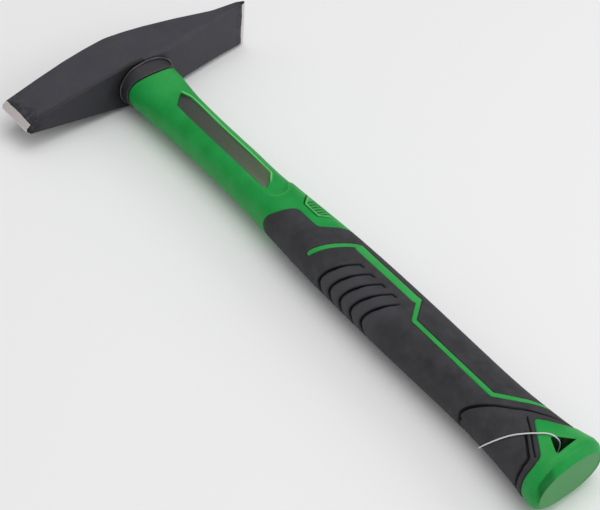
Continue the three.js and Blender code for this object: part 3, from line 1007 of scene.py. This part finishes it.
def badge_fields(points):
    """The badge's pocket, its raised lip, which also gets a painted highlight, and the seam round it,
    which gets painted shade, each from 0 to 1.
    """
    x, y = points[..., 0], points[..., 1]
    on_face = points[..., 2] > FACE_Z
    inside = inside_outline(points, BADGE, BADGE_CORNER)
    lipped = np.maximum(step(2.2, 3.4, y), step(-1, 2.5, y) * step(112, 118, x))
    lip = np.exp(-((inside + LIP_PLACE) / LIP_WIDTH) ** 2) * on_face * lipped
    return step(-0.1, 0.5, inside) * on_face, lip, step(-0.25, 0.15, inside) * on_face


def panel_fields(points):
    """The sunken panel before the arc and the arc's edge, which gets a painted highlight, each from 0
    to 1.
    """
    x, y = points[..., 0], points[..., 1]
    before = distance(points, line_on_top(PANEL_ARC), 40.0) * -side_of(points, PANEL_ARC)
    sunken = step(96, 122, x) * step(-7.2, -4.4, y)
    edge = np.exp(-((before + 0.6) / 0.6) ** 2)
    return step(-0.3, 0.6, before) * sunken, edge * sunken


def scoop_field(points):
    """Hollow in the cap's shoulder, on the upper face only, from 0 to 1."""
    x, y, z = np.moveaxis(points, -1, 0)
    return step(SCOOP_X - 0.8, SCOOP_X + 0.6, x) * step(-9.5, -13, y) * step(-21.6, -19.6, y) * (z > 0)


def green_heights(points):
    """Height over the finished form, how much painted shade each point gets (in seams, hollows and
    round the hole), and how much painted light (highlights, paler stripes).
    """
    folded = fold(points)
    x, y, z = np.moveaxis(folded, -1, 0)
    rubber = into_rubber(folded)
    covered = step(-0.15, 0.75, rubber)
    pocket, lip, seam = badge_fields(folded)
    panel, arc = panel_fields(folded)
    pad = inside_outline(folded, PAD, PAD_CORNER)
    hole = inside_outline(folded, LANYARD, LANYARD_CORNER)
    on_cap = step(330, 338, x) * (1 - covered)
    scoop = scoop_field(points)

    floor = BADGE_TOP - BADGE_THICKNESS - GAP / 2 - z
    height = -GRIP_THICKNESS * covered * (1 - pocket) + floor * pocket
    height += LIP_HEIGHT * lip
    height -= PANEL_DEPTH * panel
    height -= PAD_DEPTH * step(-0.35, 0.5, pad)
    height -= HOLE_ROUNDING * step(-0.9, 0.1, hole) ** 2
    height += CAP_SHIFT * y / half_width(WIDEST_X) * on_cap
    height -= SCOOP_DEPTH * scoop * step(BUTT_X, BUTT_X - 1, x)

    # painted shade: along the rubber's edge, in the badge's seam, round the thumb pad, round the
    # lanyard hole and in the scoop
    crease = np.max([
        0.5 * step(-0.15, 0.3, rubber),
        0.9 * seam,
        0.95 * step(-0.55, -0.05, pad),
        0.5 * step(-0.4, 0.4, hole),
        0.6 * scoop,
    ], axis=0)
    # painted light: highlights on the badge's lip, the arc's edge, the cap and the neck's end, and the
    # stripes painted paler
    ridge = np.max([
        lip,
        ARC_LIGHT * arc,
        STRIPE_LIGHT * step(170, 176, x) * step(326, 318, x),
        NECK_LIGHT * step(52, 34, x) * step(-10, -2, y),
        CAP_LIGHT * on_cap * step(-17, -8, y) * step(350, 346, x),
    ], axis=0)
    return height, crease, ridge


def make_green_moulding():
    angles = even_angles(184)
    rows = row_places(MOULDING_ROWS)[:, None]
    start = collar_end(angles) + GAP
    x = rows + (start - MOULDING_START) * (1 - step(MOULDING_START, FOLLOW_END, rows))
    butt = fill_in(round_corners(BUTT_STEPS, 0.7), 0.35)[1:]
    shoulder = np.array([oval_ring(ring_x, size, angles) for ring_x, *size in butt])
    outside = np.concatenate([form(x, angles), shoulder])
    out = normals(outside)
    height, crease, ridge = green_heights(outside)
    lip = np.array(COLLAR_LIP)
    outside[:len(lip), :, 0] = start + lip[:, :1]
    height[:len(lip)] += lip[:, 1:]
    # painted shade in the gap beside the collar
    crease[:2] = 0.8
    outer = lean(outside + out * height[..., None])

    end_size = np.array(BUTT_STEPS[-1][1:])
    face = lean(np.array([
        oval_ring(BUTT_X + END_BULGE * (1 - share ** 2), end_size * share, angles)
        for share in (0.985, 0.96, 0.85, 0.65, 0.4, 0.15, 0.03)
    ]))
    bore = np.array([core_ring(ring_x, angles) for ring_x in (CORE_END + GAP, 40, start + 0.2)])
    mesh = skin("handle_moulding", np.concatenate([bore, outer, face]))
    crease, ridge = (np.pad(field, [(len(bore), 0), (0, 0)]) for field in (crease, ridge))
    scuff = np.zeros((len(bore) + len(outer) + len(face), len(angles)))
    # painted reflection of the floor on the end face
    scuff[-1 - len(face):] = 1.0
    mark(mesh, crease=crease, ridge=ridge, scuff=scuff)
    shell = add_piece(mesh, green_plastic(), "handle_shell")
    hole = round_corners(LANYARD, LANYARD_CORNER, closed=True)[:-1]
    cut_away(shell, upright_prism("lanyard_cutter", hole, -25, 25))
    middle, normal = face_grid(shell.data)
    in_hole = inside_outline(middle[None], LANYARD, LANYARD_CORNER)[0] > -0.2
    # painted shade: the hole's walls get the darker green
    paint_faces(shell, hole_wall(), in_hole & (np.abs(normal[:, 2]) < 0.3))
    smooth(shell.data, 60)


# ---- rubber grip
GRIP_START = 136.2
TAIL_START = 294.0  # from here on the rows are stretched to follow the grip's slanted end
GRIP_END = 346.0
FRONT_ROWS = [(GRIP_START, 182, 0.5), (182, 190, 0.5), (190, 198.4, 1.0)]
REAR_ROWS = [(235.2, 246, 0.5), (246, 291, 2.5), (291, GRIP_END, 0.4)]
NEAR_GROOVE = np.array([-1, -0.6, -0.4, -0.25, -0.12, 0, 0.12, 0.25, 0.4, 0.6, 1, 1.5])
BETWEEN_GROOVES = np.array([2.0, 2.5, 3.2, 4.5, 5.8])
GROOVE_WIDTH = 1.1
GROOVE_DEPTH = 1.2
FLANK_DEEPENING = 0.4  # share by which the grooves are deeper on the -Y flank
FLANK_WIDENING = 0.15
EDGE_DROP = 1.6  # how far the rubber falls away under the line where it meets the green
SCALLOP_DEPTH = 1.3  # how far a finger pad is cut down at the edge, just behind its groove
SCALLOP_LENGTH = 3.6


def groove(gap, width=GROOVE_WIDTH, depth=GROOVE_DEPTH):
    """Round-bottomed groove at a distance from its middle line."""
    return -depth * (1 - step(width * 0.15, width * 0.75, gap))


def finger_lines():
    """Middle lines of the finger grooves, each with its short hook on the upper face."""
    lines = []
    for start in FINGER_STARTS:
        pairs = [(start + shift, degrees) for degrees, shift in FINGER_SWEEP]
        if start == FINGER_STARTS[-1]:
            pairs[-1] = (start - 1.7, -9)
        else:
            pairs.append((start + 2.4, -2.5))
        lines.append(line_round(pairs, 0.6))
    return lines


def rubber_heights(points, x_rows):
    """Height over the finished form, how much painted shade each point gets in the grooves and under
    the edge, and how worn it is.
    """
    folded = fold(points)
    y = folded[..., 1]
    rubber = into_rubber(folded)
    inside = step(0.2, 1.0, rubber)
    flank = step(-8.0, -15.0, y)
    fingers = np.min([distance(folded, line) for line in finger_lines()], axis=0)
    palm = np.minimum(
        distance(folded, line_round(PALM_GROOVE)), distance(folded, line_round(BUTT_GROOVE, 1.0)),
    )
    palm -= FLANK_WIDENING * flank
    inner = distance(folded, line_round(INNER_GROOVE))
    nearest = np.min([fingers, palm, inner + 0.2], axis=0)

    height = -EDGE_DROP * (1 - step(-0.75, 0.2, rubber))
    height += groove(nearest) * (1 + FLANK_DEEPENING * flank) * inside
    scalloped = SCALLOP_DEPTH * step(-6.0, -14.0, y)
    for start in FINGER_STARTS:
        behind = x_rows - start
        height -= scalloped * step(SCALLOP_LENGTH, 0.0, behind) * step(-0.3, 0.1, behind)

    # painted shade in the grooves, and below, along the edge by the green
    dark = np.max([
        1 - step(0.3, 0.68, fingers),
        1 - step(0.38, 0.78, palm),
        0.85 * (1 - step(0.1, 0.5, inner)),
    ], axis=0)
    crease = np.maximum(0.7 * (1 - step(-0.1, 0.35, rubber)), dark * inside)
    worn = step(197, 202, x_rows) * step(246, 236, x_rows) * step(-2, -8, y)
    return height, crease, worn


def finger_sweep(angles):
    """How far back the finger grooves have run at each angle, on both faces."""
    below = np.abs(angles) > math.pi / 2
    folded = np.where(below, np.sign(angles) * math.pi - angles, angles)
    degrees, shifts = np.transpose(FINGER_SWEEP)
    return np.interp(np.degrees(folded), degrees, shifts)


def make_grip():
    angles = even_angles(200)
    finger_rows = [start + NEAR_GROOVE for start in FINGER_STARTS]
    finger_rows += [start + BETWEEN_GROOVES for start in FINGER_STARTS[:-1]]
    rows = np.concatenate([
        row_places(FRONT_ROWS), np.unique(np.concatenate(finger_rows)), row_places(REAR_ROWS),
    ])[:, None]
    # Rows run along the finger grooves where these are, and along the slanted end at the butt.
    swept = step(180, 198, rows) * (1 - step(236, 262, rows)) * finger_sweep(angles)
    x = rows + swept
    rear = fill_in(round_corners(GRIP_REAR, 2.0), BOUNDARY_SPACING)
    rear_angles = angle_at(rear[:, 0], rear[:, 1])
    end = np.interp(np.arcsin(np.sin(angles)), rear_angles, rear[:, 0]) + 0.8
    follow = np.clip((rows - TAIL_START) / (GRIP_END - TAIL_START), 0, None)
    x = x + (end - GRIP_END) * follow
    base = form(x, angles)
    height, crease, worn = rubber_heights(base, x - swept)
    outer = lean(base + normals(base) * height[..., None])

    back = np.linspace(1, 0, 24)[:, None]
    inner_base = form(x[:1] + (x[-1:] - x[:1]) * back, angles)
    inner = lean(inner_base - normals(inner_base[::-1])[::-1] * (GRIP_THICKNESS - GAP))
    mesh = skin("grip_sleeve", np.concatenate([outer, inner]), loop=True)
    mark(mesh, crease=crease, worn=worn)
    smooth(mesh, 70)
    add_piece(mesh, grip_rubber(), "rubber_grip")


# ---- badges and thumb pad
PAD_ROWS = [(137.5, 147, 0.4), (147, 164, 0.25), (164, 169, 0.4)]
PAD_THICKNESS = 1.75
PAD_EDGE_DROP = 1.6
RIB_START = 148.4  # middle of the first groove between the ribs
RIB_PITCH = 2.3
RIB_COUNT = 7
RIB_DEPTH = 0.6


def make_badges():
    film = badge_film()
    outline = round_corners(BADGE, BADGE_CORNER, closed=True)[:-1]
    for node, face in [("badge_upper", 1), ("badge_lower", -1)]:
        heights = sorted([BADGE_TOP * face, (BADGE_TOP - BADGE_THICKNESS) * face])
        mesh = upright_prism(f"{node}_plate", outline, *heights)
        plate = add_piece(mesh, film, node)
        bevel = plate.modifiers.new("edge", "BEVEL")
        bevel.width = 0.15 * MM
        bevel.segments = 2
        bevel.limit_method = "ANGLE"
        bevel.angle_limit = math.radians(50)
        baked(plate)
        smooth(plate.data, 30)


def pad_heights(points):
    """Height over the finished form, how much painted shade each point gets in the grooves, and how
    much painted highlight along the edge and on the ribs.
    """
    folded = fold(points)
    pad = inside_outline(folded, PAD, PAD_CORNER)
    ribbed = step(1.3, 1.9, pad)
    height = -PAD_EDGE_DROP * (1 - step(-0.3, 0.55, pad))
    # painted shade round the pad's edge and, below, in the grooves between the ribs
    crease = 0.9 * (1 - step(0.05, 0.6, pad))
    for rib in range(RIB_COUNT):
        gap = np.abs(folded[..., 0] - RIB_START - rib * RIB_PITCH)
        height += groove(gap, GROOVE_WIDTH, RIB_DEPTH) * ribbed
        crease = np.maximum(crease, 0.9 * (1 - step(0.25, 0.75, gap)) * ribbed)
    # painted highlight along the pad's edge and on the ribs
    ridge = 0.45 * step(0.5, 0.9, pad) * step(1.8, 1.3, pad) + 0.12 * ribbed
    return height, crease, ridge


def make_pad():
    """Ribbed pad for the thumb, let into the green moulding on its +Y edge."""
    rows = row_places(PAD_ROWS)[:, None]
    angles = np.radians(np.linspace(2, 178, 130))
    x = np.repeat(rows, len(angles), axis=1)
    base = form(x, angles)
    out = normals(base, closed=False)
    height, crease, ridge = pad_heights(base)
    top = base + out * height[..., None]
    under = base - out * PAD_THICKNESS
    count = x.size
    index = np.arange(count).reshape(x.shape)
    quads = np.stack([index[:-1, :-1], index[1:, :-1], index[1:, 1:], index[:-1, 1:]], axis=-1)
    faces = quads.reshape(-1, 4).tolist()
    faces += [[corner + count for corner in quad[::-1]] for quad in faces]
    rim = np.concatenate([index[0], index[1:, -1], index[-1, -2::-1], index[-2:0:-1, 0]]).tolist()
    faces += [(a, b, b + count, a + count) for a, b in zip(rim, rim[1:] + rim[:1])]
    mesh = new_mesh("thumb_rest", np.concatenate([top, under]).reshape(-1, 3), faces)
    mark(mesh, crease=crease, ridge=ridge)
    smooth(mesh, 60)
    add_piece(mesh, green_plastic(), "thumb_pad")


# ---- floor and light
FLOOR_HALF = 4.0  # metres
FLOOR_COLOUR = (0.93, 0.93, 0.935)
SKY_STRENGTH = 0.44
LAMPS = [  # name, place and size in metres, power in watts
    ("softbox_top", (0.1, 0.1, 1.6), 1.6, 12.0),
    ("softbox_right", (1.0, 1.2, 0.8), 0.8, 6.5),
    ("softbox_front", (1.3, -0.8, 1.0), 0.8, 1.5),
]


def make_floor():
    corners = [(x * FLOOR_HALF, y * FLOOR_HALF, 0) for x, y in [(-1, -1), (1, -1), (1, 1), (-1, 1)]]
    mesh = bpy.data.meshes.new("floor")
    mesh.from_pydata(corners, [], [(0, 1, 2, 3)])
    look = Surface("floor_paper", roughness=0.9)
    look.fill(look.shader.inputs["Base Color"], FLOOR_COLOUR)
    mesh.materials.append(look.material)
    add_object("floor", mesh)


def make_lights():
    world = bpy.data.worlds.new("studio")
    bpy.context.scene.world = world
    world.use_nodes = True
    background = world.node_tree.nodes["Background"]
    background.inputs["Color"].default_value = (1.0, 1.0, 1.0, 1.0)
    background.inputs["Strength"].default_value = SKY_STRENGTH
    for name, spot, size, power in LAMPS:
        light = bpy.data.lights.new(name, "AREA")
        light.size = size
        light.energy = power
        lamp = add_object(name, light)
        lamp.location = spot
        lamp.rotation_euler = (-Vector(spot)).to_track_quat("-Z", "Y").to_euler()


make_camera()
make_string()
make_head()
make_eye_filling()
make_core()
make_collar()
make_bead()
make_green_moulding()
make_grip()
make_badges()
make_pad()
make_floor()
make_lights()
bpy.context.scene.view_settings.view_transform = "Standard"
